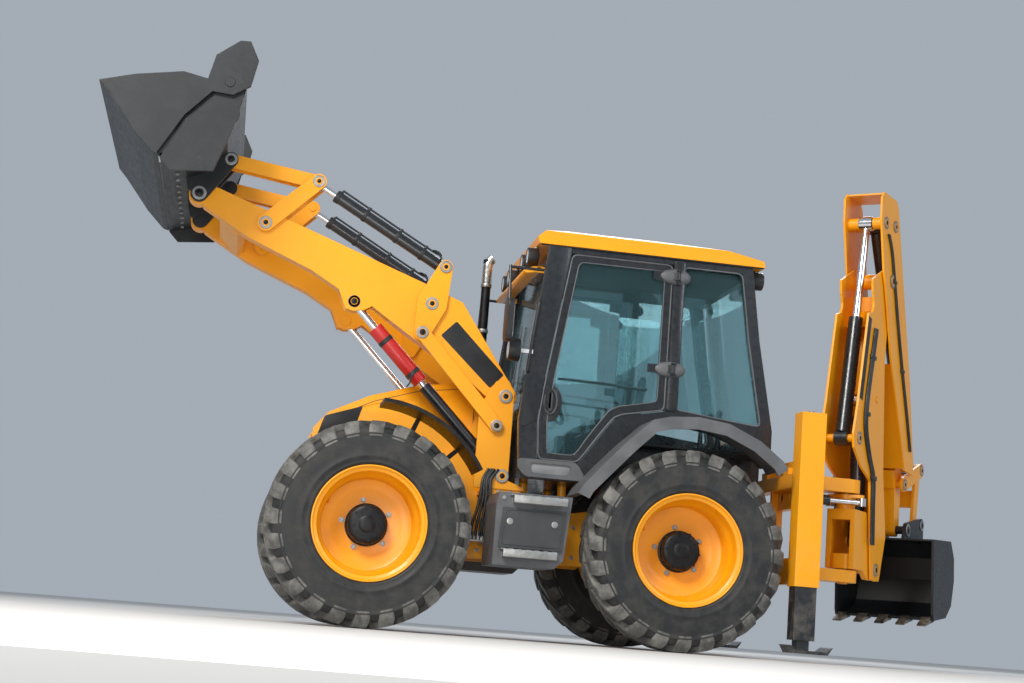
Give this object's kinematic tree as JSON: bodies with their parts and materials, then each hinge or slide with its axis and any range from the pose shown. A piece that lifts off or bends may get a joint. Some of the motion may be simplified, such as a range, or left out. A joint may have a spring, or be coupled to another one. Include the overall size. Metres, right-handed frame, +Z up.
{
  "type": "backhoe loader",
  "caption": "Four-wheel backhoe loader with a raised front shovel on parallel arms, a glazed cab and a slewing rear digging arm.",
  "frame": {"origin": "ground level under the middle of the machine's overall length and width", "axes": "+X forward to the loader shovel, +Y to the left of the driver, +Z up"},
  "size_m": [6.941, 2.448, 3.9247],
  "materials": {
    "orange_paint": "glossy orange-yellow coat",
    "black_paint": "satin black coat",
    "bucket_black": "black coat, scratched inside",
    "black_iron": "painted castings",
    "chrome_rod": "polished",
    "tyre_rubber": "moulded rubber",
    "grey_plastic": "grained dark grey",
    "tinted_glass": "light green tint",
    "lamp_clear": "clear lens"
  },
  "bodies": {
    "chassis": {"chassis": "orange_paint", "engine": "black_iron", "axles": "black_iron", "cab_frame": "black_paint", "roof": "orange_paint", "cab_glass": "tinted_glass", "seat": "grey_plastic", "rear_fenders": "grey_plastic", "toolbox": "grey_plastic", "fuel_tank": "grey_plastic", "lamps": "lamp_clear", "rear_frame": "orange_paint"},
    "knuckle_front_left": {"knuckle_front_left": "black_iron"},
    "knuckle_front_right": {"knuckle_front_right": "black_iron"},
    "knuckle_rear_left": {"knuckle_rear_left": "black_iron"},
    "knuckle_rear_right": {"knuckle_rear_right": "black_iron"},
    "wheel_front_left": {"tyre_front_left": "tyre_rubber", "rim_front_left": "orange_paint"},
    "wheel_front_right": {"tyre_front_right": "tyre_rubber", "rim_front_right": "orange_paint"},
    "wheel_rear_left": {"tyre_rear_left": "tyre_rubber", "rim_rear_left": "orange_paint"},
    "wheel_rear_right": {"tyre_rear_right": "tyre_rubber", "rim_rear_right": "orange_paint"},
    "bonnet": {"bonnet": "orange_paint", "grille": "grey_plastic"},
    "door_left": {"door_left": "black_paint", "door_glass_left": "tinted_glass"},
    "door_right": {"door_right": "black_paint", "door_glass_right": "tinted_glass"},
    "toolbox_door": {"toolbox_door": "grey_plastic"},
    "stabiliser_left": {"stabiliser_left": "black_paint"},
    "stabiliser_right": {"stabiliser_right": "black_paint"},
    "carriage": {"carriage": "orange_paint", "slew_barrels": "black_paint"},
    "kingpost": {"kingpost": "orange_paint"},
    "slew_rod_left": {"slew_rod_left": "chrome_rod"},
    "slew_rod_right": {"slew_rod_right": "chrome_rod"},
    "boom": {"boom": "orange_paint"},
    "boom_barrel": {"boom_barrel": "black_paint"},
    "boom_rod": {"boom_rod": "chrome_rod"},
    "dipper": {"dipper": "orange_paint"},
    "dipper_barrel": {"dipper_barrel": "black_paint"},
    "dipper_rod": {"dipper_rod": "chrome_rod"},
    "crowd_barrel": {"crowd_barrel": "black_paint"},
    "crowd_rod": {"crowd_rod": "chrome_rod"},
    "tipping_lever": {"tipping_lever": "orange_paint"},
    "tipping_link": {"tipping_link": "orange_paint"},
    "digging_bucket": {"digging_bucket": "bucket_black"},
    "loader_arms": {"loader_arms": "orange_paint"},
    "bellcranks": {"bellcranks": "orange_paint"},
    "loader_links": {"loader_links": "orange_paint"},
    "lever_plates": {"lever_plates": "orange_paint"},
    "levelling_links": {"levelling_links": "orange_paint"},
    "lift_barrels": {"lift_barrels": "black_paint"},
    "lift_rods": {"lift_rods": "chrome_rod"},
    "shovel_barrels": {"shovel_barrels": "black_paint"},
    "shovel_rods": {"shovel_rods": "chrome_rod"},
    "shovel": {"shovel_back": "bucket_black"},
    "shovel_clam": {"shovel_clam": "bucket_black"}
  },
  "joints": [
    {"name": "steer_front_left", "type": "hinge", "parent": "chassis", "child": "knuckle_front_left", "pos_m": [1.398, 0.6, 0.705], "axis": [0, 0, 1], "range_deg": [-18, 18]},
    {"name": "roll_front_left", "type": "hinge", "parent": "knuckle_front_left", "child": "wheel_front_left", "pos_m": [1.398, 0.6, 0.705], "axis": [0, 1, 0], "continuous": true},
    {"name": "steer_front_right", "type": "hinge", "parent": "chassis", "child": "knuckle_front_right", "pos_m": [1.398, -0.6, 0.705], "axis": [0, 0, 1], "range_deg": [-18, 18]},
    {"name": "roll_front_right", "type": "hinge", "parent": "knuckle_front_right", "child": "wheel_front_right", "pos_m": [1.398, -0.6, 0.705], "axis": [0, 1, 0], "continuous": true},
    {"name": "steer_rear_left", "type": "hinge", "parent": "chassis", "child": "knuckle_rear_left", "pos_m": [-0.822, 0.6, 0.705], "axis": [0, 0, 1], "range_deg": [-18, 18]},
    {"name": "roll_rear_left", "type": "hinge", "parent": "knuckle_rear_left", "child": "wheel_rear_left", "pos_m": [-0.822, 0.6, 0.705], "axis": [0, 1, 0], "continuous": true},
    {"name": "steer_rear_right", "type": "hinge", "parent": "chassis", "child": "knuckle_rear_right", "pos_m": [-0.822, -0.6, 0.705], "axis": [0, 0, 1], "range_deg": [-18, 18]},
    {"name": "roll_rear_right", "type": "hinge", "parent": "knuckle_rear_right", "child": "wheel_rear_right", "pos_m": [-0.822, -0.6, 0.705], "axis": [0, 1, 0], "continuous": true},
    {"name": "bonnet_lift", "type": "hinge", "parent": "chassis", "child": "bonnet", "pos_m": [0.608, 0, 1.87], "axis": [0, -1, 0], "range_deg": [0, 50]},
    {"name": "door_left_swing", "type": "hinge", "parent": "chassis", "child": "door_left", "pos_m": [-0.73, 0.754, 2.3], "axis": [0, 0, 1], "range_deg": [0, 85]},
    {"name": "door_right_swing", "type": "hinge", "parent": "chassis", "child": "door_right", "pos_m": [-0.73, -0.754, 2.3], "axis": [0, 0, -1], "range_deg": [0, 85]},
    {"name": "toolbox_door_swing", "type": "hinge", "parent": "chassis", "child": "toolbox_door", "pos_m": [0.278, 1.119, 0.622], "axis": [-1, 0, 0], "range_deg": [0, 90]},
    {"name": "stabiliser_left_slide", "type": "slide", "parent": "chassis", "child": "stabiliser_left", "axis": [0, 0, 1], "range_m": [-0.2, 0.4]},
    {"name": "stabiliser_right_slide", "type": "slide", "parent": "chassis", "child": "stabiliser_right", "axis": [0, 0, 1], "range_m": [-0.2, 0.4]},
    {"name": "side_shift", "type": "slide", "parent": "chassis", "child": "carriage", "axis": [0, 1, 0], "range_m": [-1.08, 0.08]},
    {"name": "slew", "type": "hinge", "parent": "carriage", "child": "kingpost", "pos_m": [-2.182, 0.5, 0.7], "axis": [0, 0, 1], "range_deg": [-140, 40]},
    {"name": "slew_rod_left_slide", "type": "slide", "parent": "carriage", "child": "slew_rod_left", "axis": [1, 0, 0], "range_m": [-0.06, 0.19]},
    {"name": "slew_rod_right_slide", "type": "slide", "parent": "carriage", "child": "slew_rod_right", "axis": [1, 0, 0], "range_m": [-0.19, 0.06]},
    {"name": "boom_lower", "type": "hinge", "parent": "kingpost", "child": "boom", "pos_m": [-2.40055, 0.23955, 0.72], "axis": [0.766, -0.6428, 0], "range_deg": [0, 110]},
    {"name": "boom_barrel_swing", "type": "hinge", "parent": "kingpost", "child": "boom_barrel", "pos_m": [-2.34912, 0.30083, 0.93], "axis": [0.766, -0.6428, 0], "range_deg": [0, 118]},
    {"name": "boom_rod_slide", "type": "slide", "parent": "boom_barrel", "child": "boom_rod", "axis": [0.027, 0.0322, 0.9991], "range_m": [0, 0.34]},
    {"name": "dipper_open", "type": "hinge", "parent": "boom", "child": "dipper", "pos_m": [-2.43912, 0.19358, 2.96], "axis": [-0.766, 0.6428, 0], "range_deg": [0, 98]},
    {"name": "dipper_barrel_swing", "type": "hinge", "parent": "boom", "child": "dipper_barrel", "pos_m": [-2.09201, 0.60725, 1.66], "axis": [-0.766, 0.6428, 0], "range_deg": [0, 3]},
    {"name": "dipper_rod_slide", "type": "slide", "parent": "dipper_barrel", "child": "dipper_rod", "axis": [-0.1247, -0.1486, 0.981], "range_m": [-0.7, 0]},
    {"name": "bucket_open", "type": "hinge", "parent": "dipper", "child": "digging_bucket", "pos_m": [-2.83764, -0.28136, 1.08], "axis": [-0.766, 0.6428, 0], "range_deg": [-40, 60]},
    {"name": "tipping_lever_swing", "type": "hinge", "parent": "dipper", "child": "tipping_lever", "pos_m": [-2.82479, -0.26604, 1.44], "axis": [-0.766, 0.6428, 0], "range_deg": [-36, 53]},
    {"name": "tipping_link_swing", "type": "hinge", "parent": "tipping_lever", "child": "tipping_link", "pos_m": [-3.09476, -0.58778, 1.6], "axis": [-0.766, 0.6428, 0], "range_deg": [-45, 30]},
    {"name": "crowd_barrel_swing", "type": "hinge", "parent": "dipper", "child": "crowd_barrel", "pos_m": [-2.45197, 0.17826, 3.4], "axis": [-0.766, 0.6428, 0], "range_deg": [-2, 2]},
    {"name": "crowd_rod_slide", "type": "slide", "parent": "crowd_barrel", "child": "crowd_rod", "axis": [-0.3122, -0.372, -0.8742], "range_m": [-0.38, 0.26]},
    {"name": "loader_lift", "type": "hinge", "parent": "chassis", "child": "loader_arms", "pos_m": [0.443, 0, 1.734], "axis": [0, -1, 0], "range_deg": [-60, 11.5]},
    {"name": "lever_swing", "type": "hinge", "parent": "loader_arms", "child": "lever_plates", "pos_m": [1.036, 0, 2.36], "axis": [0, -1, 0], "range_deg": [-11.6, 60.1]},
    {"name": "levelling_link_swing", "type": "hinge", "parent": "chassis", "child": "levelling_links", "pos_m": [0.498, 0, 1.512], "axis": [0, -1, 0], "range_deg": [-60.1, 11.6]},
    {"name": "lift_barrel_swing", "type": "hinge", "parent": "chassis", "child": "lift_barrels", "pos_m": [0.426, 0, 1.155], "axis": [0, -1, 0], "range_deg": [-52, 10]},
    {"name": "lift_rod_slide", "type": "slide", "parent": "lift_barrels", "child": "lift_rods", "axis": [0.7089, 0, 0.7053], "range_m": [-0.545, 0.105]},
    {"name": "shovel_barrel_swing", "type": "hinge", "parent": "lever_plates", "child": "shovel_barrels", "pos_m": [0.957, 0, 2.641], "axis": [0, -1, 0], "range_deg": [-57, 11]},
    {"name": "shovel_dump", "type": "hinge", "parent": "loader_arms", "child": "shovel", "pos_m": [2.778, 0, 2.985], "axis": [0, 1, 0], "range_deg": [0, 100]},
    {"name": "bellcrank_swing", "type": "hinge", "parent": "loader_arms", "child": "bellcranks", "pos_m": [2.287, 0, 2.824], "axis": [0, 1, 0], "range_deg": [0, 65]},
    {"name": "loader_link_swing", "type": "hinge", "parent": "bellcranks", "child": "loader_links", "pos_m": [1.934, 0, 3.172], "axis": [0, 1, 0], "range_deg": [-43.5, 0]},
    {"name": "shovel_rod_slide", "type": "slide", "parent": "shovel_barrels", "child": "shovel_rods", "axis": [0.8786, 0, 0.4775], "range_m": [0, 0.52]},
    {"name": "clam_open", "type": "hinge", "parent": "shovel", "child": "shovel_clam", "pos_m": [2.626, 0, 3.618], "axis": [0, -1, 0], "range_deg": [0, 70]}
  ],
  "couplings": [
    {"joint": "steer_front_right", "follows": "steer_front_left", "ratio": 1},
    {"joint": "steer_rear_right", "follows": "steer_rear_left", "ratio": 1},
    {"joint": "slew_rod_left_slide", "follows": "slew", "m_per_rad": -0.0762},
    {"joint": "slew_rod_right_slide", "follows": "slew", "m_per_rad": 0.0762},
    {"joint": "boom_barrel_swing", "follows": "boom_lower", "ratio": 1.0639},
    {"joint": "boom_rod_slide", "follows": "boom_lower", "m_per_rad": 0.1742},
    {"joint": "dipper_barrel_swing", "follows": "dipper_open", "ratio": 0.0296},
    {"joint": "dipper_rod_slide", "follows": "dipper_open", "m_per_rad": -0.40855},
    {"joint": "tipping_lever_swing", "follows": "bucket_open", "ratio": 0.8574},
    {"joint": "tipping_link_swing", "follows": "bucket_open", "ratio": -0.7168},
    {"joint": "crowd_barrel_swing", "follows": "bucket_open", "ratio": 0.012},
    {"joint": "crowd_rod_slide", "follows": "bucket_open", "m_per_rad": -0.3511},
    {"joint": "lever_swing", "follows": "loader_lift", "ratio": -1},
    {"joint": "levelling_link_swing", "follows": "loader_lift", "ratio": 1},
    {"joint": "lift_barrel_swing", "follows": "loader_lift", "ratio": 0.8265},
    {"joint": "lift_rod_slide", "follows": "loader_lift", "m_per_rad": 0.4998},
    {"joint": "shovel_barrel_swing", "follows": "loader_lift", "ratio": 0.9408},
    {"joint": "bellcrank_swing", "follows": "shovel_dump", "ratio": 0.6495},
    {"joint": "loader_link_swing", "follows": "shovel_dump", "ratio": -0.432},
    {"joint": "shovel_rod_slide", "follows": "shovel_dump", "m_per_rad": 0.29736}
  ]
}
